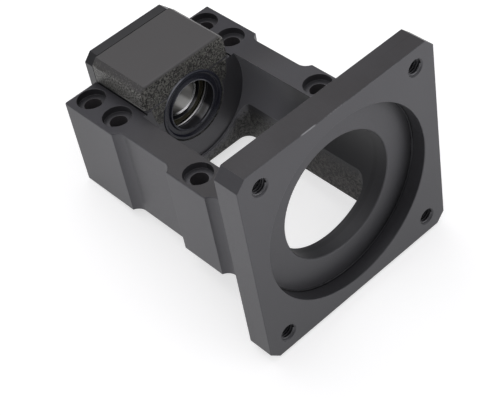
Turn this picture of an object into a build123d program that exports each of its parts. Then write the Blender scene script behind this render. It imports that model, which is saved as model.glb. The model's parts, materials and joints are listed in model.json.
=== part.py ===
from build123d import *
import os
from math import cos, radians, sin, sqrt, tan

# Motor mount bracket with a built-in fixed-end bearing unit for a screw drive.
# One casting joins a square motor flange, two bolting rails and a bearing block.
# The origin is where the motor axis meets the flange's motor face.
# +X points out towards the motor, +Z away from the machine bed. Millimetres.
# A length called "depth" or "from the face" runs backwards, along -X.

# Motor flange
flange_width = 87.5
flange_height = 85.0
flange_thickness = 10.5
flange_corner = 3.7
flange_edge_break = 0.2
pilot_diameter = 73.0
pilot_depth = 6.0
pilot_floor_radius = 0.6
motor_bolt_spacing = 69.6
motor_thread_diameter = 6.0
motor_thread_mouth = 7.0

# Rails and their ears, as lengths from the flange's back to the rear
base_depth = 28.0
rail_height = 10.0
ear_width = 70.0
pocket_depth = 2.75
pocket_corner_radius = 4.5
front_relief_length = 21.4
front_ear_length = 19.8
waist_length = 29.8
rear_ear_length = 27.0
rail_edge_radius = 0.6

# Rail bolts
rail_hole_diameter = 6.6
rail_seat_diameter = 11.0
rail_seat_depth = 2.7
front_bolt_spacing = 57.0
front_bolt_edge = 9.4
rear_bolt_spacing = 55.0
rear_bolt_pitch = 15.0
rear_bolt_edge = 6.1

# Bearing block that stands up between the rails
block_length = 29.1
block_width = 40.0
block_height = 20.0
block_chamfer = 2.3
block_front_radius = 1.2
block_front_lean = 5.0
block_corner_radius = 2.0
foot_cut_height = 0.6
foot_cut_depth = 0.1
foot_groove_width = 0.6
foot_groove_depth = 0.6
edge_break = 0.4

# Coupling cavity, wider at the rails' top by its casting draft
cavity_width = 44.0
cavity_corner_radius = 6.0
web_thickness = 1.8
cast_draft = 2.5
cavity_run_back = 0.4
through_bore_diameter = 48.0

# Bearing seat and seals
seal_diameter = 28.0
seal_width = 4.2
seal_mouth_diameter = 19.6
seal_wall = 1.1
seal_dish_depth = 1.1
seal_lip_setback = 0.3
seal_rim_break = 0.3
shoulder_length = 4.4

# Angular contact bearing, 15 x 32 x 9
bearing_bore = 15.0
bearing_diameter = 32.0
bearing_width = 9.0
bearing_count = 2
inner_land_diameter = 20.4
outer_land_diameter = 26.0
relief_land_diameter = 27.6
inner_face_setback = 0.1
ring_chamfer = 0.6
ball_diameter = 4.76
ball_count = 12
ball_clearance = 0.05
cage_inner_diameter = 21.4
cage_outer_diameter = 25.0
cage_width = 7.2
cage_pocket_clearance = 0.15

# Bearing cover and its screws
cover_thickness = 5.0
cover_chamfer = 3.2
cover_edge_break = 0.3
cover_bolt_spacing = 30.0
cover_seat_clearance = 0.02
screw_diameter = 3.0
screw_head_diameter = 5.5
screw_head_height = 3.0
screw_length = 10.0
screw_clearance = 0.2
screw_socket_width = 2.5
screw_socket_depth = 1.5
thread_clearance = 0.05
tapped_spare_length = 2.0
drill_point_angle = 118.0

# Places along the axis, measured back from the motor face
front_ear_start = flange_thickness + front_relief_length
waist_start = front_ear_start + front_ear_length
rear_ear_start = waist_start + waist_length
body_length = rear_ear_start + rear_ear_length
block_start = body_length - block_length
cast_front = block_start + cavity_run_back
seal_end = block_start + seal_width
bearing_start = seal_end + shoulder_length
bearing_end = bearing_start + bearing_count * bearing_width
cover_end = body_length + cover_thickness

# Past any face that a cut has to clear
over = 1.0


def x_bar(diameter, start, end):
    """A round bar on the motor axis between two depths from the motor face."""
    bar = Cylinder(diameter / 2, end - start, align=(Align.CENTER, Align.CENTER, Align.MIN))
    return Pos(-end, 0, 0) * Rot(0, 90, 0) * bar


def turned(points):
    """A ring turned about the motor axis from (depth, radius) corners."""
    outline = Polyline([(-depth, radius) for depth, radius in points], close=True)
    return revolve(make_face(outline), Axis.X, 360)


def square_places(spacing_y, spacing_z):
    """The four corners of a bolt square, seen along the axis."""
    return [(y * spacing_y / 2, z * spacing_z / 2) for z in (1, -1) for y in (-1, 1)]


def side_pocket(start, end, side):
    """The cutter's path that relieves a rail's outer face between two depths."""
    radius = pocket_corner_radius
    reach = min(pocket_depth, radius)
    run_out = radius - sqrt(radius**2 - (radius - reach) ** 2)
    open_start = start if start <= flange_thickness else start - run_out
    length = end + run_out - open_start
    breadth = 4 * radius
    plan = RectangleRounded(length, breadth, radius)
    centre_y = side * (ear_width / 2 - pocket_depth + breadth / 2)
    middle = Pos(-(open_start + length / 2), centre_y, -base_depth - over) * plan
    return extrude(middle, base_depth + rail_height + 2 * over)


def rails():
    """Both rails as one slab with ears, before the cavity parts them."""
    length = body_length - flange_thickness / 2
    high = base_depth + rail_height
    slab = Box(length, ear_width, high, align=(Align.MIN, Align.CENTER, Align.MIN))
    slab = Pos(-body_length, 0, -base_depth) * slab
    root_width = ear_width + 2 * (pocket_corner_radius - pocket_depth)
    root = Box(2 * pocket_corner_radius, root_width, high, align=(Align.MAX, Align.CENTER, Align.MIN))
    slab += Pos(-flange_thickness / 2, 0, -base_depth) * root
    for side in (-1, 1):
        slab -= side_pocket(flange_thickness, front_ear_start, side)
        slab -= side_pocket(waist_start, rear_ear_start, side)
    waist_half = ear_width / 2 - pocket_depth
    top = slab.edges().group_by(Axis.Z)[-1]
    outer = top.filter_by(lambda e: abs(e.center().Y) > waist_half - edge_break)
    return fillet(outer, rail_edge_radius)


def flange():
    """The square motor plate with its corners cut at 45 degrees."""
    plate = Box(flange_thickness, flange_width, flange_height, align=(Align.MAX, Align.CENTER, Align.CENTER))
    plate = chamfer(plate.edges().filter_by(Axis.X), flange_corner)
    rim = plate.faces().sort_by(Axis.X)
    return chamfer(rim[0].edges() + rim[-1].edges(), flange_edge_break)


def bearing_block():
    """The part of the bearing block above the rails, with its milled top."""
    rise = block_height - rail_height
    length = body_length - cast_front
    block = Box(length, block_width, rise, align=(Align.MIN, Align.CENTER, Align.MIN))
    block = Pos(-body_length, 0, rail_height) * block
    lean = Box(block_length, block_width + 2 * over, 2 * rise, align=(Align.MIN, Align.CENTER, Align.MIN))
    block -= Pos(-cast_front, 0, rail_height) * Rot(0, -block_front_lean, 0) * lean
    long_edges = block.edges().filter_by(Axis.X).group_by(Axis.Z)[-1]
    block = chamfer(long_edges, block_chamfer)
    upright = block.faces().sort_by(Axis.X)[-1].edges().filter_by(
        lambda e: e.length > rise / 2 and abs(e.center().Y) > block_width / 2 - edge_break
    )
    block = fillet(upright, block_corner_radius)
    turned_over = block.edges().filter_by(
        lambda e: e.center().Z > block_height - block_chamfer - edge_break
        and e.center().X > -cast_front - block_corner_radius - rise * tan(radians(block_front_lean))
    )
    block = fillet(turned_over, block_front_radius)
    for side in (-1, 1):
        strip = Box(length + 2 * over, foot_cut_depth + over, foot_cut_height)
        y = side * (block_width / 2 - foot_cut_depth + (foot_cut_depth + over) / 2)
        block -= Pos(-(body_length + cast_front) / 2, y, rail_height + foot_cut_height / 2) * strip
    return block


def foot_grooves():
    """Cutter relief in the rails' tops along both sides of the bearing block."""
    length = body_length - cast_front
    groove = Box(length + 2 * over, foot_groove_width, 2 * foot_groove_depth)
    inner = block_width / 2 - foot_cut_depth
    return [
        Pos(-(body_length + cast_front) / 2, side * (inner + foot_groove_width / 2), rail_height) * groove
        for side in (-1, 1)
    ]


def cavity():
    """The space for the shaft coupling, open above and below."""
    front = flange_thickness + web_thickness
    plan = RectangleRounded(cast_front - front, cavity_width, cavity_corner_radius)
    place = Pos(-(front + cast_front) / 2, 0, rail_height)
    return extrude(place * plan, -(base_depth + rail_height + over), taper=cast_draft)


def pilot_recess():
    """The recess that centres the motor, with the turning tool's radius in its corner."""
    recess = x_bar(pilot_diameter, -over, pilot_depth)
    return fillet(recess.edges().sort_by(Axis.X)[0], pilot_floor_radius)


def cone(wide, narrow, start, end):
    """A turned cone on the axis, wide at its start."""
    return turned([(start, 0), (start, wide / 2), (end, narrow / 2), (end, 0)])


def bore_steps():
    """The turned line from the motor face back through the bearing seat."""
    cuts = [
        pilot_recess(),
        x_bar(through_bore_diameter, pilot_depth - over, block_start),
        x_bar(seal_diameter, block_start - over, bearing_start + over),
        x_bar(bearing_diameter, bearing_start, body_length + over),
    ]
    rims = [
        (pilot_diameter, 0, flange_edge_break),
        (through_bore_diameter, pilot_depth, edge_break),
        (seal_diameter, block_start, edge_break),
    ]
    for diameter, start, cut in rims:
        cuts.append(cone(diameter + 2 * cut, diameter, start, start + cut))
    rear = cone(bearing_diameter, bearing_diameter + 2 * edge_break, body_length - edge_break, body_length)
    return cuts + [rear]


def motor_holes():
    """Four tapped holes, drawn at the thread's major diameter, with countersunk mouths."""
    holes = []
    for y, z in square_places(motor_bolt_spacing, motor_bolt_spacing):
        hole = x_bar(motor_thread_diameter, -over, flange_thickness + over)
        drop = (motor_thread_mouth - motor_thread_diameter) / 2
        mouth = cone(motor_thread_mouth, motor_thread_diameter, 0, drop)
        back = cone(motor_thread_diameter, motor_thread_mouth, flange_thickness - drop, flange_thickness)
        holes.append(Pos(0, y, z) * (hole + mouth + back))
    return holes


def rail_bolt_places():
    """The six rail bolts: two on the front ears, four on the rear ears."""
    front = waist_start - front_bolt_edge
    rear = body_length - rear_bolt_edge
    rows = [(front, front_bolt_spacing), (rear - rear_bolt_pitch, rear_bolt_spacing), (rear, rear_bolt_spacing)]
    return [(-depth, side * spacing / 2) for depth, spacing in rows for side in (-1, 1)]


def rail_holes():
    """Bolt holes down through the rails, with flat seats for the heads."""
    high = base_depth + rail_height
    cuts = []
    for x, y in rail_bolt_places():
        drill = Cylinder(rail_hole_diameter / 2, high + 2 * over, align=(Align.CENTER, Align.CENTER, Align.MIN))
        seat = Cylinder(rail_seat_diameter / 2, 2 * rail_seat_depth)
        cuts.append(Pos(x, y, -base_depth - over) * drill)
        cuts.append(Pos(x, y, rail_height) * seat)
    return cuts


def cover_tapped_holes():
    """Blind holes in the block's rear face for the cover screws."""
    reach = screw_length - (cover_thickness - screw_head_height - screw_clearance)
    deep = body_length - reach - tapped_spare_length
    point = deep - screw_diameter / 2 / tan(radians(drill_point_angle / 2))
    radius = screw_diameter / 2
    outline = [(point, 0), (deep, radius), (body_length + over, radius), (body_length + over, 0)]
    return [Pos(0, y, z) * turned(outline) for y, z in square_places(cover_bolt_spacing, cover_bolt_spacing)]


def bracket_body():
    """The casting with all its machining."""
    body = rails() + flange() + bearing_block()
    cuts = [cavity()] + foot_grooves() + bore_steps() + motor_holes()
    for cut in cuts + rail_holes() + cover_tapped_holes():
        body -= cut
    return body


def bearing_cover():
    """The square cover that clamps the bearings, with a spigot and a seal seat."""
    plate = Box(cover_thickness, block_width, block_width, align=(Align.MIN, Align.CENTER, Align.CENTER))
    plate = chamfer(plate.edges().filter_by(Axis.X), cover_chamfer)
    rim = plate.faces().sort_by(Axis.X)
    plate = chamfer(rim[0].edges() + rim[-1].edges(), cover_edge_break)
    cover = Pos(-cover_end, 0, 0) * plate
    cover += x_bar(bearing_diameter - 2 * cover_seat_clearance, bearing_end, body_length + over)
    cover -= x_bar(seal_diameter, bearing_end - over, cover_end + over)
    head = screw_head_diameter + 2 * screw_clearance
    for y, z in square_places(cover_bolt_spacing, cover_bolt_spacing):
        seat = x_bar(head, cover_end - screw_head_height - screw_clearance, cover_end + over)
        shank = x_bar(screw_diameter + 2 * screw_clearance, body_length - over, cover_end)
        cover -= Pos(0, y, z) * (seat + shank)
    return cover


def cover_screw(y, z):
    """A socket head cap screw, its head just under the cover's face."""
    top = cover_end - screw_clearance
    under_head = top - screw_head_height
    head = x_bar(screw_head_diameter, under_head, top)
    head = chamfer(head.edges().sort_by(Axis.X)[0], edge_break / 2)
    shank = x_bar(screw_diameter - 2 * thread_clearance, under_head - screw_length, under_head)
    shank = chamfer(shank.edges().sort_by(Axis.X)[-1], edge_break)
    key = RegularPolygon(screw_socket_width / sqrt(3), 6)
    socket = Pos(-top - over, 0, 0) * Rot(0, 90, 0) * extrude(key, screw_socket_depth + over)
    return Pos(0, y, z) * (head + shank - socket)


def oil_seal(mouth, away):
    """A rubber-covered seal with its dished face at the mouth; away (+1 or -1) is the way in."""
    outer = seal_diameter / 2
    lip = seal_mouth_diameter / 2
    land = outer - seal_wall
    back = seal_width
    face = seal_rim_break / 2
    profile = [
        (face, outer - seal_rim_break),
        (face, land),
        (seal_dish_depth, land - seal_wall / 2),
        (seal_dish_depth, lip + seal_wall),
        (seal_lip_setback, lip + seal_wall / 2),
        (seal_lip_setback + seal_rim_break / 3, lip),
        (2 * seal_dish_depth, lip + seal_dish_depth),
        (2 * seal_dish_depth + seal_rim_break, land - seal_rim_break),
        (back - seal_rim_break, land),
        (back, land + seal_rim_break),
        (back, outer - seal_rim_break),
        (back - seal_rim_break, outer),
        (face + seal_rim_break, outer),
    ]
    return turned([(mouth + away * depth, radius) for depth, radius in profile])


def ball_circle_radius():
    return (inner_land_diameter + outer_land_diameter) / 4 + ball_clearance


def race_groove(middle):
    """The torus that the balls roll in, with its running clearance."""
    path_radius = ball_circle_radius()
    groove = Pos(-middle, path_radius) * Circle(ball_diameter / 2 + ball_clearance)
    return revolve(groove, Axis.X, 360)


def outer_ring(middle, open_side):
    """The outer ring: one land stands high, the one on the open side is relieved."""
    half = bearing_width / 2
    outer = bearing_diameter / 2 - cover_seat_clearance
    high = outer_land_diameter / 2
    low = relief_land_diameter / 2
    break_ = ring_chamfer
    profile = [
        (-half, high + break_ / 2),
        (-half + break_ / 2, high),
        (0, high),
        (0, low),
        (half - break_ / 2, low),
        (half, low + break_ / 2),
        (half, outer - break_),
        (half - break_, outer),
        (-half + break_, outer),
        (-half, outer - break_),
    ]
    return turned([(middle + open_side * depth, radius) for depth, radius in profile]) - race_groove(middle)


def inner_ring(middle):
    """The inner ring that carries the screw's journal, ground back for the pair's preload."""
    half = bearing_width / 2 - inner_face_setback
    land = inner_land_diameter / 2
    bore = bearing_bore / 2
    break_ = ring_chamfer
    profile = []
    for side in (-1, 1):
        corner = [
            (side * (half - break_), bore),
            (side * half, bore + break_),
            (side * half, land - break_ / 2),
            (side * (half - break_ / 2), land),
        ]
        profile += corner if side < 0 else corner[::-1]
    return turned([(middle + depth, radius) for depth, radius in profile]) - race_groove(middle)


def ball_places():
    """The balls' centres round the axis, with the first one at the top."""
    radius = ball_circle_radius()
    turns = [360 / ball_count * k for k in range(ball_count)]
    return [(radius * sin(radians(turn)), radius * cos(radians(turn)), turn) for turn in turns]


def ball(middle, y, z):
    return Pos(-middle, y, z) * Sphere(ball_diameter / 2)


def ball_cage(middle):
    """A turned cage with one drilled pocket for each ball."""
    cage = x_bar(cage_outer_diameter, middle - cage_width / 2, middle + cage_width / 2)
    cage -= x_bar(cage_inner_diameter, middle - cage_width, middle + cage_width)
    pocket_radius = ball_diameter / 2 + cage_pocket_clearance
    for _, _, turn in ball_places():
        pocket = Cylinder(pocket_radius, cage_outer_diameter, align=(Align.CENTER, Align.CENTER, Align.MIN))
        cage -= Pos(-middle, 0, 0) * Rot(-turn, 0, 0) * pocket
    return cage


def bearing_middle(index):
    return bearing_start + (index + 0.5) * bearing_width


os.makedirs("parts", exist_ok=True)


def write(name, solid):
    solid.label = name
    export_step(solid, f"parts/{name}.step")


write("bracket_body", bracket_body())
write("bearing_cover", bearing_cover())
for number, (screw_y, screw_z) in enumerate(square_places(cover_bolt_spacing, cover_bolt_spacing), 1):
    write(f"cover_screw_{number}", cover_screw(screw_y, screw_z))
write("front_oil_seal", oil_seal(block_start, 1))
write("rear_oil_seal", oil_seal(cover_end, -1))

for index, place in enumerate(("front", "rear")):
    centre = bearing_middle(index)
    write(f"{place}_outer_ring", outer_ring(centre, 1 if place == "front" else -1))
    write(f"{place}_inner_ring", inner_ring(centre))
    write(f"{place}_ball_cage", ball_cage(centre))
    for number, (ball_y, ball_z, _) in enumerate(ball_places(), 1):
        write(f"{place}_ball_{number:02d}", ball(centre, ball_y, ball_z))
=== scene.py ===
import bpy
import json
from math import cos, radians, sin
from types import SimpleNamespace
from mathutils import Matrix, Vector


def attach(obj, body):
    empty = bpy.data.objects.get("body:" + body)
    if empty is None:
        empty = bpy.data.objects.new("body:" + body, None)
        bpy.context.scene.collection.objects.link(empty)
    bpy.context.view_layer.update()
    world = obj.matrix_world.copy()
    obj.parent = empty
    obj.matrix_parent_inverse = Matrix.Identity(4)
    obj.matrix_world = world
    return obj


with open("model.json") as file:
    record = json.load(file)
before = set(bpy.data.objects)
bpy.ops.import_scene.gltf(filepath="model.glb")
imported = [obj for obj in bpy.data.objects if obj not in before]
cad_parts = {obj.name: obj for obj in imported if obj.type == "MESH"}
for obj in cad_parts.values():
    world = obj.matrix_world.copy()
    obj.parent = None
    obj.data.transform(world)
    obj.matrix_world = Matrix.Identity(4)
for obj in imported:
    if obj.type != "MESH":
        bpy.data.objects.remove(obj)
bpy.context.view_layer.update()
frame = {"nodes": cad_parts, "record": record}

MM = 0.001

# Sizes shared with the solid model. A length called "depth", "start" or "front" runs
# backwards from the motor face, along -X.
flange_thickness = 10.5 * MM
flange_half_height = 42.5 * MM
motor_bolt_spacing = 69.6 * MM
thread_radius = 3.0 * MM
thread_mouth_radius = 3.5 * MM
pilot_radius = 36.5 * MM
pilot_depth = 6.0 * MM
pilot_floor_radius = 0.6 * MM
through_bore_radius = 24.0 * MM
edge_break = 0.4 * MM

rail_height = 10.0 * MM
base_depth = 28.0 * MM
body_length = 108.5 * MM
rail_hole_radius = 3.3 * MM
rail_holes = [(-42.3 * MM, 28.5 * MM), (-87.4 * MM, 27.5 * MM), (-102.4 * MM, 27.5 * MM)]

cavity_front = 12.3 * MM
cavity_half_width = 22.0 * MM
block_start = 79.4 * MM
block_half_width = 20.0 * MM
block_height = 20.0 * MM
block_chamfer = 2.3 * MM
foot_cut_height = 0.6 * MM
foot_cut_depth = 0.1 * MM
foot_groove_width = 0.6 * MM
foot_groove_depth = 0.6 * MM

seal_bore_radius = 14.0 * MM
seal_lip_radius = 9.8 * MM
seal_lip_width = 0.3 * MM
bearing_start = 88.0 * MM
bearing_bore_radius = 16.0 * MM
journal_radius = 7.5 * MM
ring_corner_radius = 10.0 * MM

# The thread's own form
thread_pitch = 1.0 * MM
thread_depth = 0.54 * MM
thread_turns = 9
thread_root_share = 0.86
thread_crest_share = 0.3
thread_overlap = 0.02 * MM
thread_steps = 40

# How far a patch of finish reaches past the faces that bound it
slack = 0.05 * MM

# Where finishes, painted shade and painted highlights change gradually, as places along X, Y or Z
rail_tone_rear, rail_tone_front = -85 * MM, -62 * MM
paler_rail_start, paler_rail_full = -80 * MM, -55 * MM
dark_wall_start, dark_wall_full = -64 * MM, -44 * MM
rear_shade_end = -75 * MM
rear_skin_end = -84 * MM
flange_shade_top = 40 * MM
deep_skin_top = -5 * MM
glint_start, glint_full = -99 * MM, -88 * MM
recess_dark_start, recess_dark_full = 31.0 * MM, 36.0 * MM
strong_scuff = (-16.5 * MM, -15.0 * MM, -10.5 * MM, -9.3 * MM)
faint_scuff = (-7.0 * MM, -3.0 * MM, 1.0 * MM, 5.0 * MM)

# Tones of the casting's cut faces
cut_oxide = (0.078, 0.077, 0.085, 1)
cut_oxide_cloud = (0.092, 0.091, 0.098, 1)
cut_oxide_stroke = (0.105, 0.105, 0.111, 1)
# Painted shade: the up-facing rail tops, darker towards the rear
rail_top_rear = (0.040, 0.039, 0.046, 1)
rail_top_front = (0.045, 0.042, 0.042, 1)
block_top_tone = (0.092, 0.088, 0.086, 1)
# Painted shade: the up-facing flange top
flange_top_painted_shade = (0.045, 0.042, 0.043, 1)
turned_tone = (0.28, 0.28, 0.30, 1)
# Painted shade on the walls of the wide bore and the cavity
bore_wall_painted_shade = (0.031, 0.031, 0.033, 1)
# Painted shade, laid on the flange towards its bottom and on the rear, low down
painted_shade_tone = (0.046, 0.046, 0.050, 1)
# Painted light: the mounting holes' walls painted lighter
hole_wall_painted_light = (0.100, 0.095, 0.100, 1)
scuff_tone = (0.30, 0.30, 0.31, 1)
worn_edge_tone = (0.24, 0.24, 0.245, 1)
bare_tone = (0.17, 0.17, 0.19, 1)
# A painted highlight on one side of the seal bore, and the bearing bore's own bright metal
painted_highlight_and_bare_bore_tone = (0.96, 0.96, 0.97, 1)
# Painted shade in the grooves at the block's foot
groove_painted_shade = (0.004, 0.004, 0.005, 1)
# Painted shade on the recess floor near its wall
recess_floor_painted_shade = (0.036, 0.036, 0.039, 1)
# Painted shade in the recess's corner
corner_painted_shade = (0.024, 0.024, 0.026, 1)

# Tones of its rough skin: the hollows' and the high grains' on each kind of face; the kinds of face
# differ by painted light and shade
side_skin = (0.018, 0.018, 0.016, 1), (0.420, 0.415, 0.390, 1)
front_skin = (0.012, 0.012, 0.011, 1), (0.265, 0.260, 0.236, 1)
deep_skin = (0.012, 0.012, 0.011, 1), (0.120, 0.118, 0.110, 1)
# Painted shade on the rough skin of those walls
bore_skin_painted_shade = (0.004, 0.004, 0.004, 1), (0.112, 0.103, 0.098, 1)
rear_skin = (0.050, 0.049, 0.047, 1)
tilted_skin_painted_shade = (0.042, 0.040, 0.038, 1)
# Painted highlight along the block's foot
painted_glint_tone = (0.80, 0.79, 0.76, 1)


class Finish:
    """One procedural material, built up as named steps from the point's place on the object."""

    def __init__(self, name):
        self.material = bpy.data.materials.new(name)
        self.material.use_nodes = True
        self.nodes = self.material.node_tree.nodes
        self.links = self.material.node_tree.links
        self.nodes.clear()
        self.shader = self.nodes.new("ShaderNodeBsdfPrincipled")
        self.output = self.nodes.new("ShaderNodeOutputMaterial")
        self.links.new(self.shader.outputs[0], self.output.inputs["Surface"])
        self.place = self.nodes.new("ShaderNodeTexCoord").outputs["Object"]
        self.normal = None

    def put(self, socket, value):
        """Links a socket to the socket, or sets it to a plain value."""
        if isinstance(value, bpy.types.NodeSocket):
            self.links.new(value, socket)
        elif value is not None:
            socket.default_value = value

    def math(self, kind, a, b=None):
        """One step of arithmetic."""
        node = self.nodes.new("ShaderNodeMath")
        node.operation = kind
        for socket, value in zip(node.inputs, (a, b)):
            self.put(socket, value)
        return node.outputs[0]

    def times(self, first, *others):
        """The product of all that is given."""
        for other in others:
            first = self.math("MULTIPLY", first, other)
        return first

    def most(self, first, *others):
        """The largest of all that is given."""
        for other in others:
            first = self.math("MAXIMUM", first, other)
        return first

    def size(self, value):
        return self.math("ABSOLUTE", value)

    def without(self, amount):
        return self.math("SUBTRACT", 1.0, amount)

    def over(self, value, limit):
        return self.math("GREATER_THAN", value, limit)

    def under(self, value, limit):
        return self.math("LESS_THAN", value, limit)

    def near(self, value, middle, reach):
        """1 where the value lies within reach of middle."""
        return self.under(self.size(self.math("SUBTRACT", value, middle)), reach)

    def ramp(self, value, low, high, to_low=0.0, to_high=1.0):
        """The value carried from one range to another, smoothly and held at both ends."""
        node = self.nodes.new("ShaderNodeMapRange")
        node.interpolation_type = "SMOOTHSTEP"
        self.links.new(value, node.inputs["Value"])
        node.inputs["From Min"].default_value = low
        node.inputs["From Max"].default_value = high
        node.inputs["To Min"].default_value = to_low
        node.inputs["To Max"].default_value = to_high
        return node.outputs["Result"]

    def band(self, value, start, full, fading, end):
        """1 from full to fading, running out to 0 at start and at end."""
        return self.times(self.ramp(value, start, full), self.ramp(value, fading, end, 1.0, 0.0))

    def between(self, amount, a, b):
        """A colour or number that goes from a to b as amount goes from 0 to 1."""
        node = self.nodes.new("ShaderNodeMix")
        is_socket = isinstance(a, bpy.types.NodeSocket)
        number = a.type == "VALUE" if is_socket else isinstance(a, float)
        node.data_type = "FLOAT" if number else "RGBA"
        first = 2 if number else 6
        self.put(node.inputs[0], amount)
        self.put(node.inputs[first], a)
        self.put(node.inputs[first + 1], b)
        return node.outputs[0 if number else 2]

    def layered(self, base, *layers):
        """The base with each (amount, tone or number) laid over the ones before it."""
        for amount, top in layers:
            base = self.between(amount, base, top)
        return base

    def split(self, vector):
        node = self.nodes.new("ShaderNodeSeparateXYZ")
        self.links.new(vector, node.inputs[0])
        return node.outputs[0], node.outputs[1], node.outputs[2]

    def axes(self):
        """The place's three parts."""
        return self.split(self.place)

    def facing(self):
        """The true surface normal's three parts."""
        return self.split(self.nodes.new("ShaderNodeNewGeometry").outputs["True Normal"])

    def radius(self):
        """The distance from the motor axis."""
        _, y, z = self.axes()
        return self.distance(y, z)

    def distance(self, a, b):
        return self.math("SQRT", self.math("ADD", self.times(a, a), self.times(b, b)))

    def sector(self, middle, reach, soft=4.0):
        """1 within reach degrees of a direction round the axis, fading over twice soft degrees."""
        _, y, z = self.axes()
        sideways = self.times(y, cos(radians(middle)))
        upwards = self.times(z, sin(radians(middle)))
        along = self.math("DIVIDE", self.math("ADD", sideways, upwards), self.distance(y, z))
        return self.ramp(along, cos(radians(reach + soft)), cos(radians(reach - soft)))

    def stretched(self, x, y, z):
        """The place, scaled by its own factor along each axis."""
        node = self.nodes.new("ShaderNodeVectorMath")
        node.operation = "MULTIPLY"
        self.links.new(self.place, node.inputs[0])
        node.inputs[1].default_value = (x, y, z)
        return node.outputs[0]

    def grain(self, scale, detail=3.0, roughness=0.6, place=None):
        node = self.nodes.new("ShaderNodeTexNoise")
        self.links.new(place or self.place, node.inputs["Vector"])
        node.inputs["Scale"].default_value = scale
        node.inputs["Detail"].default_value = detail
        node.inputs["Roughness"].default_value = roughness
        return node.outputs["Fac"]

    def pits(self, scale):
        node = self.nodes.new("ShaderNodeTexVoronoi")
        self.links.new(self.place, node.inputs["Vector"])
        node.inputs["Scale"].default_value = scale
        return node.outputs["Distance"]

    def flat_or_smooth(self):
        """The true normal on a face square to an axis, the smooth one elsewhere."""
        geometry = self.nodes.new("ShaderNodeNewGeometry")
        largest = self.most(*[self.size(part) for part in self.facing()])
        pick = self.nodes.new("ShaderNodeMix")
        pick.data_type = "VECTOR"
        self.links.new(self.over(largest, 0.99995), pick.inputs[0])
        self.links.new(geometry.outputs["Normal"], pick.inputs[4])
        self.links.new(geometry.outputs["True Normal"], pick.inputs[5])
        return pick.outputs[1]

    def rounded(self, radius):
        """Breaks the edges to this radius, and gives how near an edge the point is."""
        bevel = self.nodes.new("ShaderNodeBevel")
        bevel.samples = 6
        bevel.inputs["Radius"].default_value = radius
        own = self.flat_or_smooth()
        self.links.new(own, bevel.inputs["Normal"])
        dot = self.nodes.new("ShaderNodeVectorMath")
        dot.operation = "DOT_PRODUCT"
        self.links.new(bevel.outputs[0], dot.inputs[0])
        self.links.new(own, dot.inputs[1])
        self.normal = bevel.outputs[0]
        return self.without(dot.outputs["Value"])

    def bump(self, height, distance, strength=1.0):
        """A relief laid on top of the ones before it."""
        node = self.nodes.new("ShaderNodeBump")
        self.links.new(height, node.inputs["Height"])
        node.inputs["Distance"].default_value = distance
        self.put(node.inputs["Strength"], strength)
        if self.normal is not None:
            self.links.new(self.normal, node.inputs["Normal"])
        self.normal = node.outputs[0]

    def finish(self, colour, roughness, metallic=0.0, specular=0.5):
        self.put(self.shader.inputs["Base Color"], colour)
        self.put(self.shader.inputs["Roughness"], roughness)
        self.put(self.shader.inputs["Metallic"], metallic)
        self.put(self.shader.inputs["Specular IOR Level"], specular)
        if self.normal is not None:
            self.links.new(self.normal, self.shader.inputs["Normal"])
        return self.material


def cast_areas(m, uneven):
    """1 where the casting's skin was left as it came from the mould, 0 where it was cut.

    The limit between the two is ragged, and on the block the skin creeps up the chamfer.
    """
    ragged_reach = 3.2 * MM
    creep_height = 1.6 * MM
    x, y, z = m.axes()
    _, _, up = m.facing()
    side = m.size(y)
    in_cavity = m.times(
        m.under(x, -cavity_front + 2 * slack),
        m.over(x, -block_start - 10 * slack),
        m.under(side, cavity_half_width + slack),
        m.under(z, rail_height - slack),
    )
    bore_limit = m.ramp(
        uneven, 0.35, 0.65, through_bore_radius + slack, through_bore_radius + ragged_reach
    )
    uncut = m.over(m.radius(), bore_limit)
    behind = m.under(x, -block_start - slack)
    on_block = m.times(
        m.under(x, -block_start - 4 * slack),
        m.over(z, rail_height + foot_cut_height),
        m.under(side, block_half_width + slack),
    )
    chamfer_foot = block_height - block_chamfer
    creep = m.ramp(z, chamfer_foot, chamfer_foot + creep_height, 0.20, 0.0)
    steepest_cut = m.ramp(m.math("ADD", uneven, creep), 0.3, 0.7, 0.35, 0.80)
    return m.most(
        m.times(in_cavity, m.most(uncut, behind)),
        m.times(on_block, m.under(up, steepest_cut)),
    )


def bare_bores(m):
    """The seal and bearing bores, cut after the oxide; a painted highlight on one side of the seal
    bore; the bearing bore.
    """
    x, _, _ = m.axes()
    radius = m.radius()
    seal_bore = m.times(
        m.under(radius, seal_bore_radius + 2 * slack),
        m.under(x, -block_start - edge_break - slack),
    )
    bearing_bore = m.times(
        m.under(radius, bearing_bore_radius + 2 * slack),
        m.under(x, -bearing_start + 2 * slack),
        m.over(x, -body_length + edge_break + slack),
    )
    # The seal bore's sector is a painted highlight
    return m.most(seal_bore, bearing_bore), m.times(seal_bore, m.sector(-57.0, 10.0)), bearing_bore


def foot_grooves(m):
    """1 down in the cutter's grooves at the foot of the block, which take a near-black painted
    shade.
    """
    wall = 0.03 * MM
    x, y, z = m.axes()
    groove_middle = block_half_width - foot_cut_depth + foot_groove_width / 2
    return m.times(
        m.near(m.size(y), groove_middle, foot_groove_width / 2 + wall),
        m.under(z, rail_height - wall),
        m.over(z, rail_height - foot_groove_depth - 2 * slack),
        m.under(x, -block_start),
    )


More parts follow.
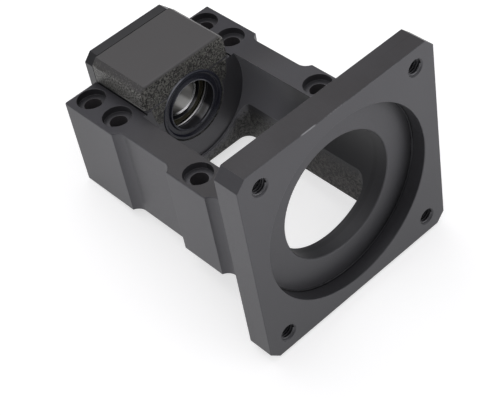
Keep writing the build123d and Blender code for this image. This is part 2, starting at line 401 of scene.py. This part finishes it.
def cut_tops(m):
    """The milled tops: how much each point is a rail's, the block's or the flange's; the rails' and
    the flange's up-facing tops take painted shade.
    """
    x, y, z = m.axes()
    _, _, up = m.facing()
    level = m.over(up, 0.9)
    paler_end = m.times(m.ramp(x, paler_rail_start, paler_rail_full), m.over(y, 0.0))
    rail_top = m.times(
        level,
        m.under(z, rail_height + foot_cut_height),
        m.over(z, rail_height - foot_cut_height),
        m.without(m.times(paler_end, 0.8)),
    )
    block_top = m.times(
        m.over(z, block_height - block_chamfer - 2 * slack),
        m.under(x, -block_start),
    )
    flange_top = m.times(level, m.over(z, flange_half_height - 2 * slack))
    return rail_top, block_top, flange_top


def on_through_bore(m):
    """1 on the wide bore's turned wall, from the motor face to the block."""
    x, _, _ = m.axes()
    return m.times(m.near(m.radius(), through_bore_radius, 2 * slack), m.over(x, -block_start))


def turned_band(m):
    """1 on the wide bore's wall where it runs through the cavity."""
    x, _, z = m.axes()
    return m.times(
        on_through_bore(m),
        m.under(z, rail_height - 2 * slack),
        m.under(x, -cavity_front),
    )


def dark_walls(m):
    """1 on the wide bore's wall and the cavity's, fading out towards the block: where shade is
    painted.
    """
    draft_reach = 1.3 * MM
    x, y, z = m.axes()
    in_cavity = m.times(
        m.under(m.size(y), cavity_half_width + draft_reach),
        m.under(x, -cavity_front + 2 * slack),
        m.under(z, rail_height - 2 * slack),
        m.over(x, -block_start),
    )
    fading = m.ramp(x, dark_wall_start, dark_wall_full)
    return m.times(m.most(on_through_bore(m), in_cavity), fading)


def rail_hole_walls(m):
    """1 on the walls of the six mounting holes, below their seats, where light is painted."""
    x, y, _ = m.axes()
    side = m.size(y)
    walls = []
    for along, across in rail_holes:
        away = m.distance(m.math("SUBTRACT", x, along), m.math("SUBTRACT", side, across))
        walls.append(m.under(away, rail_hole_radius + 2 * slack))
    return m.most(*walls)


def thread_mouths(m):
    """1 on the countersunk mouths of the four tapped holes and the flange round them."""
    rim = 0.3 * MM
    _, y, z = m.axes()
    half = motor_bolt_spacing / 2
    away = m.distance(m.math("SUBTRACT", m.size(y), half), m.math("SUBTRACT", m.size(z), half))
    return m.under(away, thread_mouth_radius + rim)


def recess_corner(m):
    """1 on the turned radius in the corner of the motor recess, where shade is painted."""
    x, _, _ = m.axes()
    radius = m.radius()
    return m.times(
        m.over(radius, pilot_radius - pilot_floor_radius - slack),
        m.under(radius, pilot_radius + slack),
        m.under(x, -pilot_depth + pilot_floor_radius + 2 * slack),
        m.over(x, -pilot_depth - slack),
    )


def recess_floor(m):
    """How much painted shade darkens the recess's floor towards its wall, on one side."""
    x, _, _ = m.axes()
    return m.times(
        m.near(x, -pilot_depth, 2 * slack),
        m.ramp(m.radius(), recess_dark_start, recess_dark_full, 0.0, 0.68),
        m.sector(-11.0, 62.0, 22.0),
    )


def edge_scuffs(m, patches):
    """Bright rubs along the flange's top front edge, in two stretches."""
    x, y, z = m.axes()
    on_edge = m.times(
        m.ramp(x, -0.45 * MM, -0.1 * MM),
        m.ramp(z, flange_half_height - 0.4 * MM, flange_half_height - 0.1 * MM),
    )
    strong = m.band(y, *strong_scuff)
    faint = m.times(m.band(y, *faint_scuff), m.ramp(patches, 0.42, 0.62, 0.05, 0.4))
    return m.times(on_edge, m.most(strong, faint))


def cut_colour(m, areas, cloud, strokes, edge):
    """The oxide's colour on the casting's cut faces, with painted shade on the up-facing tops, low
    on the flange and the rear, and on the dark walls, and painted light on the mounting holes'
    walls.
    """
    x, _, z = m.axes()
    rail_top, block_top, flange_top = cut_tops(m)
    rail_tone = m.between(m.ramp(x, rail_tone_rear, rail_tone_front), rail_top_rear, rail_top_front)
    # Painted shade: the flange darker towards its bottom
    low_flange = m.times(
        m.ramp(z, -flange_half_height, flange_shade_top, 0.60, 0.0),
        m.over(x, -flange_thickness),
    )
    # Painted shade: the rear darker, low down
    low_rear = m.times(
        m.ramp(x, -body_length, rear_shade_end, 0.60, 0.0),
        m.under(z, rail_height - 2 * slack),
    )
    return m.layered(
        m.between(cloud, cut_oxide, cut_oxide_cloud),
        (m.ramp(strokes, 0.35, 0.75, 0.0, 0.35), cut_oxide_stroke),
        # Painted shade on the up-facing rail and flange tops
        (m.times(rail_top, m.ramp(cloud, 0.3, 0.7, 0.55, 0.8)), rail_tone),
        (m.times(block_top, 0.7), block_top_tone),
        (m.times(flange_top, m.ramp(cloud, 0.3, 0.7, 0.8, 0.6)), flange_top_painted_shade),
        (m.times(areas.turned, 0.7), turned_tone),
        # Painted shade on the bore's and the cavity's walls
        (m.times(areas.dark_walls, 0.95), bore_wall_painted_shade),
        (low_flange, painted_shade_tone),
        (low_rear, painted_shade_tone),
        # Painted light on the mounting holes' walls
        (areas.holes, hole_wall_painted_light),
        (edge_scuffs(m, strokes), scuff_tone),
        (m.ramp(edge, 0.0, 1.0, 0.0, 0.6), worn_edge_tone),
    )


def skin_colour(m, areas, coarse):
    """The oxide's colour on the rough skin, with painted light and shade: its high grains paler on
    the sides than on the fronts, darker on tilted faces, low down and on the dark walls, and a
    painted glint along the block's foot.
    """
    x, _, z = m.axes()
    front, _, up = m.facing()
    wide = m.grain(900.0, 4.0, 0.8)
    foot = rail_height + foot_cut_height
    # Painted highlight: a pale line along the block's foot
    glint = m.times(
        m.ramp(z, foot + 0.30 * MM, foot + 0.45 * MM, 1.0, 0.0),
        m.ramp(x, glint_start, glint_full),
    )
    side = m.layered(
        m.between(m.ramp(coarse, 0.40, 0.62), *side_skin),
        (m.ramp(x, -body_length, rear_skin_end, 0.50, 0.0), rear_skin),
        (m.times(glint, 0.8), painted_glint_tone),
    )
    # Painted light and shade: high grains paler on side faces, darker on front and tilted faces
    high = m.layered(
        side,
        (m.ramp(front, 0.2, 0.8), m.between(m.ramp(coarse, 0.40, 0.64), *front_skin)),
        (m.ramp(up, 0.35, 0.65, 0.0, 0.72), tilted_skin_painted_shade),
    )
    return m.layered(
        # Painted shade: the rough skin darker low down
        m.between(m.ramp(wide, 0.38, 0.64), *deep_skin),
        (m.ramp(z, deep_skin_top, rail_height), high),
        # Painted shade on the rough skin of the dark walls
        (m.times(areas.dark_walls, 0.8), m.between(m.ramp(wide, 0.44, 0.60), *bore_skin_painted_shade)),
    )


def oxide_casting():
    """Black oxide over cast iron: satin where it was cut, coarse where it was not."""
    m = Finish("oxide_casting")
    x, _, _ = m.axes()
    cloud = m.grain(45.0, 4.0)
    fleck = m.grain(2600.0, 2.0)
    strokes = m.grain(60.0, 3.0, 0.7, m.stretched(1.5, 40.0, 40.0))
    coarse = m.grain(1450.0, 4.0, 0.75)
    lumps = m.pits(1900.0)
    areas = SimpleNamespace(
        skin=cast_areas(m, coarse),
        turned=turned_band(m),
        dark_walls=dark_walls(m),
        holes=rail_hole_walls(m),
        corner=recess_corner(m),
    )
    bare, seal_bore_highlight, bearing_bore = bare_bores(m)
    edge = m.times(
        m.ramp(m.rounded(0.25 * MM), 0.02, 0.25),
        m.over(x, -body_length + edge_break + 2 * slack),
        m.without(m.most(areas.corner, areas.dark_walls)),
        m.without(m.times(thread_mouths(m), 0.7)),
    )
    colour = m.layered(
        cut_colour(m, areas, cloud, strokes, edge),
        (areas.skin, skin_colour(m, areas, coarse)),
        (bare, bare_tone),
        # Painted highlight on the seal bore, and the bearing bore's bright metal
        (m.most(seal_bore_highlight, bearing_bore), painted_highlight_and_bare_bore_tone),
        # Painted shade in the foot grooves
        (foot_grooves(m), groove_painted_shade),
        # Painted shade on the recess floor
        (recess_floor(m), recess_floor_painted_shade),
        # Painted shade in the recess's corner
        (m.times(areas.corner, 0.95), corner_painted_shade),
    )
    roughness = m.layered(
        m.ramp(fleck, 0.3, 0.7, 0.38, 0.46),
        (areas.skin, 0.40),
        (m.times(areas.dark_walls, 0.9), 0.62),
        (bare, 0.35),
    )
    metallic = m.layered(
        m.between(areas.skin, 0.55, 0.35),
        (m.most(areas.turned, areas.dark_walls, areas.holes), 0.2),
        (m.times(areas.corner, 0.9), 1.0),
        (bare, 0.75),
    )
    m.bump(strokes, 0.03 * MM, m.times(m.without(areas.skin), 0.25))
    m.bump(coarse, 0.60 * MM, areas.skin)
    m.bump(lumps, 0.25 * MM, m.times(areas.skin, 0.7))
    m.bump(fleck, 0.01 * MM, 0.25)
    return m.finish(colour, roughness, metallic)


def oxide_steel(name, tone):
    """Black oxide over turned or milled steel, black in the joint under the cover."""
    m = Finish(name)
    x, _, _ = m.axes()
    edge = m.ramp(m.rounded(0.15 * MM), 0.02, 0.25)
    fleck = m.grain(3000.0, 2.0)
    plain = (tone, tone, tone * 1.05, 1)
    cloudy = (tone * 1.25, tone * 1.25, tone * 1.3, 1)
    colour = m.layered(
        m.between(m.grain(70.0, 4.0), plain, cloudy),
        (m.ramp(edge, 0.0, 1.0, 0.0, 0.4), (0.17, 0.17, 0.175, 1)),
        (m.ramp(x, -body_length - 0.36 * MM, -body_length - 0.24 * MM), (0.006, 0.006, 0.006, 1)),
    )
    m.bump(fleck, 0.01 * MM, 0.3)
    return m.finish(colour, m.ramp(fleck, 0.3, 0.7, 0.32, 0.42), 0.9)


def seal_rubber():
    """Glossy dark rubber whose moulded edges catch the light, with painted highlights on those
    edges, on its rim and on two sides of its lip.
    """
    m = Finish("seal_rubber")
    edge = m.ramp(m.rounded(0.22 * MM), 0.03, 0.30)
    fleck = m.grain(2500.0, 3.0)
    highlight_breakup = m.ramp(m.grain(160.0, 2.0), 0.42, 0.60, 0.55, 1.0)
    radius = m.radius()
    # Painted highlight: a pale arc on the rim, strongest on one side
    rim = m.times(
        m.ramp(radius, seal_bore_radius - 0.45 * MM, seal_bore_radius - 0.3 * MM),
        highlight_breakup,
        m.ramp(m.sector(125.0, 22.0, 12.0), 0.0, 1.0, 0.10, 0.9),
    )
    lip_start = seal_lip_radius
    lip_end = seal_lip_radius + seal_lip_width
    lip = m.band(
        radius, lip_start - 0.02 * MM, lip_start + 0.04 * MM, lip_end - slack, lip_end + slack
    )
    # The lip's painted highlight, on two sides
    highlight_sides = m.most(m.sector(85.0, 42.0, 14.0), m.sector(-62.0, 14.0, 6.0))
    lip = m.times(lip, m.ramp(highlight_sides, 0.0, 1.0, 0.12, 0.95))
    colour = m.layered(
        m.between(m.grain(300.0), (0.014, 0.015, 0.026, 1), (0.026, 0.028, 0.042, 1)),
        # Painted highlights on the moulded edges, the rim and the lip
        (m.ramp(edge, 0.0, 1.0, 0.0, 0.75), (0.26, 0.27, 0.31, 1)),
        (m.most(rim, lip), (0.34, 0.35, 0.39, 1)),
    )
    m.bump(fleck, 0.02 * MM, 0.3)
    return m.finish(colour, m.ramp(fleck, 0.3, 0.7, 0.26, 0.38), specular=0.35)


def ground_steel(name, roughness, shaded_end_faces=0.0):
    """Ground bearing steel with fine turning lines round the axis; its flat end faces painted
    darker as painted shade, and a painted highlight streak on the journal.
    """
    m = Finish(name)
    end_on, _, _ = m.facing()
    radius = m.radius()
    lines = m.nodes.new("ShaderNodeTexNoise")
    lines.noise_dimensions = "1D"
    lines.inputs["Scale"].default_value = 9000.0
    m.links.new(radius, lines.inputs["W"])
    m.rounded(0.2 * MM)
    m.bump(lines.outputs["Fac"], 0.001 * MM, 0.2)
    # Painted shade: the flat end faces, away from the ring's corner
    end_face = m.times(
        m.over(m.size(end_on), 0.95),
        shaded_end_faces,
        m.without(m.near(radius, ring_corner_radius, 0.22 * MM)),
    )
    journal = m.under(radius, journal_radius + slack)
    colour = m.layered(
        m.between(m.grain(400.0), (0.88, 0.88, 0.88, 1), (0.95, 0.95, 0.94, 1)),
        (end_face, (0.20, 0.20, 0.205, 1)),
        (journal, (0.46, 0.455, 0.445, 1)),
        # Painted highlight: a bright streak on the journal at one angle
        (m.times(journal, m.sector(-68.0, 13.0, 9.0)), (0.98, 0.98, 0.97, 1)),
    )
    return m.finish(colour, m.between(journal, roughness, 0.30), 1.0)


def moulded_cage():
    """Brown moulded resin, its corners painted pale as a painted highlight."""
    m = Finish("moulded_cage")
    fleck = m.grain(2200.0, 3.0)
    colour = m.layered(
        m.between(m.grain(350.0), (0.110, 0.100, 0.062, 1), (0.170, 0.155, 0.100, 1)),
        # Painted highlight on the corners
        (m.ramp(m.rounded(0.35 * MM), 0.02, 0.20), (0.86, 0.88, 0.74, 1)),
    )
    m.bump(fleck, 0.02 * MM, 0.4)
    return m.finish(colour, m.ramp(fleck, 0.3, 0.7, 0.45, 0.60))


def dress(materials):
    """Gives every CAD node the finish named for its material slot."""
    for row in frame["record"]["subparts"]:
        node = frame["nodes"][row["node"]]
        node.data.materials.clear()
        node.data.materials.append(materials[row["material_slot"]])


def pick_only(piece):
    """Makes this piece the only one selected, and the active one."""
    bpy.ops.object.select_all(action="DESELECT")
    piece.select_set(True)
    bpy.context.view_layer.objects.active = piece


def smooth_nodes():
    """Round surfaces shade smoothly, and corners stay sharp."""
    for node in frame["nodes"].values():
        pick_only(node)
        bpy.ops.object.shade_smooth_by_angle(angle=radians(25))


def pick_vertices(piece, test):
    """In edit mode, selects only the vertices that pass the test."""
    bpy.ops.mesh.select_mode(type="VERT")
    bpy.ops.mesh.select_all(action="DESELECT")
    bpy.ops.object.mode_set(mode="OBJECT")
    for vertex in piece.data.vertices:
        vertex.select = test(vertex.co)
    bpy.ops.object.mode_set(mode="EDIT")


def thread_ridge():
    """One hole's thread: a helical ridge about X, wide at the wall and narrow at its crest."""
    bpy.ops.object.select_all(action="DESELECT")
    bpy.ops.mesh.primitive_plane_add(size=1)
    ridge = bpy.context.object
    bpy.ops.object.mode_set(mode="EDIT")
    bpy.ops.transform.resize(value=(thread_root_share * thread_pitch, thread_depth, 1))
    bpy.ops.transform.translate(value=(0, thread_radius - thread_depth / 2 + thread_overlap, 0))
    pick_vertices(ridge, lambda co: co.y < thread_radius - thread_depth / 2)
    bpy.ops.transform.resize(value=(thread_crest_share, 1, 1))
    bpy.ops.object.mode_set(mode="OBJECT")
    screw = ridge.modifiers.new("helix", "SCREW")
    screw.axis = "X"
    screw.screw_offset = thread_pitch
    screw.iterations = thread_turns
    screw.steps = thread_steps
    screw.render_steps = thread_steps
    bpy.ops.object.modifier_apply(modifier="helix")
    bpy.ops.object.mode_set(mode="EDIT")
    bpy.ops.mesh.select_all(action="SELECT")
    bpy.ops.mesh.normals_make_consistent(inside=False)
    bpy.ops.object.mode_set(mode="OBJECT")
    bpy.ops.object.shade_smooth_by_angle(angle=radians(35))
    return ridge


def threads(material):
    """The same ridge in each of the four tapped motor holes."""
    first = thread_ridge()
    first.data.materials.append(material)
    start = -(flange_thickness + thread_pitch * thread_turns) / 2
    half = motor_bolt_spacing / 2
    places = [(y, z) for z in (half, -half) for y in (-half, half)]
    copies = [first]
    for _ in places[1:]:
        pick_only(first)
        bpy.ops.object.duplicate(linked=False)
        copies.append(bpy.context.object)
    for number, (ridge, (y, z)) in enumerate(zip(copies, places), 1):
        pick_only(ridge)
        bpy.ops.object.mode_set(mode="EDIT")
        bpy.ops.mesh.select_all(action="SELECT")
        bpy.ops.transform.translate(value=(start, y, z))
        bpy.ops.object.mode_set(mode="OBJECT")
        ridge.name = f"motor_thread_{number}"
        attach(ridge, "bracket")


def camera():
    """The view that the photograph was taken from, found from the flange's corners and holes."""
    data = bpy.data.cameras.new("camera")
    data.sensor_width = 36.0
    data.lens = 99.6
    data.clip_start = 0.01
    item = bpy.data.objects.new("camera", data)
    bpy.context.collection.objects.link(item)
    right = Vector((0.67363, 0.72441, -0.14647))
    up = Vector((-0.45318, 0.56142, 0.69242))
    place = Vector((239.23, -205.48, 321.06)) * MM
    turn = Matrix((right, up, right.cross(up))).transposed().to_4x4()
    item.matrix_world = Matrix.Translation(place) @ turn
    bpy.context.scene.camera = item


def lamp(name, place, aim, size, power):
    """A rectangular area lamp, turned towards its aim."""
    data = bpy.data.lights.new(name, "AREA")
    data.shape = "RECTANGLE"
    data.size, data.size_y = size
    data.energy = power
    item = bpy.data.objects.new(name, data)
    bpy.context.collection.objects.link(item)
    item.location = place
    item.rotation_euler = (Vector(aim) - Vector(place)).to_track_quat("-Z", "Y").to_euler()


def table_finish():
    """Matt white; seen directly or as a reflection it also glows a little, as a lit table does."""
    m = Finish("table")
    m.put(m.shader.inputs["Base Color"], (0.80, 0.80, 0.80, 1))
    m.put(m.shader.inputs["Roughness"], 0.9)
    glow = m.nodes.new("ShaderNodeEmission")
    glow.inputs["Color"].default_value = (1, 1, 1, 1)
    glow.inputs["Strength"].default_value = 0.62
    pale = m.nodes.new("ShaderNodeBsdfDiffuse")
    pale.inputs["Color"].default_value = (0.64, 0.64, 0.64, 1)
    both = m.nodes.new("ShaderNodeAddShader")
    m.links.new(glow.outputs[0], both.inputs[0])
    m.links.new(pale.outputs[0], both.inputs[1])
    path = m.nodes.new("ShaderNodeLightPath").outputs
    pick = m.nodes.new("ShaderNodeMixShader")
    m.links.new(m.most(path["Is Camera Ray"], path["Is Glossy Ray"]), pick.inputs[0])
    m.links.new(m.shader.outputs[0], pick.inputs[1])
    m.links.new(both.outputs[0], pick.inputs[2])
    m.links.new(pick.outputs[0], m.output.inputs["Surface"])
    return m.material


def white_table():
    """The table that the bracket lies on, tilted under its flange and its rear edge."""
    gap = 0.05 * MM
    front = Vector((-flange_thickness, 0, -flange_half_height))
    rear = Vector((-body_length, 0, -base_depth))
    along = (front - rear).normalized()
    across = Vector((0, 1, 0))
    up = along.cross(across)
    bpy.ops.object.select_all(action="DESELECT")
    bpy.ops.mesh.primitive_plane_add(size=6)
    table = bpy.context.object
    table.name = "table"
    turn = Matrix((along, across, up)).transposed().to_4x4()
    table.matrix_world = Matrix.Translation((front + rear) / 2 - up * gap) @ turn
    table.data.materials.append(table_finish())


def white_room():
    """A plain pale surround, brighter overhead; the camera sees it as white."""
    world = bpy.data.worlds.new("room")
    bpy.context.scene.world = world
    world.use_nodes = True
    nodes, links = world.node_tree.nodes, world.node_tree.links
    nodes.clear()
    parts = nodes.new("ShaderNodeSeparateXYZ")
    links.new(nodes.new("ShaderNodeTexCoord").outputs["Generated"], parts.inputs[0])
    strength = nodes.new("ShaderNodeMapRange")
    links.new(parts.outputs[2], strength.inputs["Value"])
    strength.inputs["From Min"].default_value = 0.35
    strength.inputs["From Max"].default_value = 0.8
    strength.inputs["To Min"].default_value = 0.28
    strength.inputs["To Max"].default_value = 0.72
    surround = nodes.new("ShaderNodeBackground")
    surround.inputs["Color"].default_value = (0.98, 0.97, 1.0, 1)
    links.new(strength.outputs[0], surround.inputs["Strength"])
    white = nodes.new("ShaderNodeBackground")
    white.inputs["Color"].default_value = (1, 1, 1, 1)
    pick = nodes.new("ShaderNodeMixShader")
    links.new(nodes.new("ShaderNodeLightPath").outputs["Is Camera Ray"], pick.inputs[0])
    links.new(surround.outputs[0], pick.inputs[1])
    links.new(white.outputs[0], pick.inputs[2])
    links.new(pick.outputs[0], nodes.new("ShaderNodeOutputWorld").inputs["Surface"])


bpy.context.scene.view_settings.view_transform = "Standard"
camera()
white_room()
white_table()
lamp("low_side_light", place=(-0.10, -1.00, 0.02), aim=(-0.05, 0, 0), size=(1.2, 0.3), power=1.2)
lamp("low_front_light", place=(0.85, 0.55, 0.10), aim=(0, 0, 0), size=(0.8, 0.5), power=2.6)
lamp("rear_top_light", place=(-0.50, 0.10, 0.95), aim=(-0.05, 0, 0), size=(0.9, 0.9), power=2.2)

casting = oxide_casting()
dress({
    "cast_iron_oxide": casting,
    "cover_oxide": oxide_steel("cover_oxide", tone=0.047),
    "screw_steel": oxide_steel("screw_steel", tone=0.060),
    "seal_rubber": seal_rubber(),
    "bearing_steel": ground_steel("bearing_steel", roughness=0.25, shaded_end_faces=0.85),
    "ball_steel": ground_steel("ball_steel", roughness=0.08),
    "cage_resin": moulded_cage(),
})
smooth_nodes()
threads(casting)
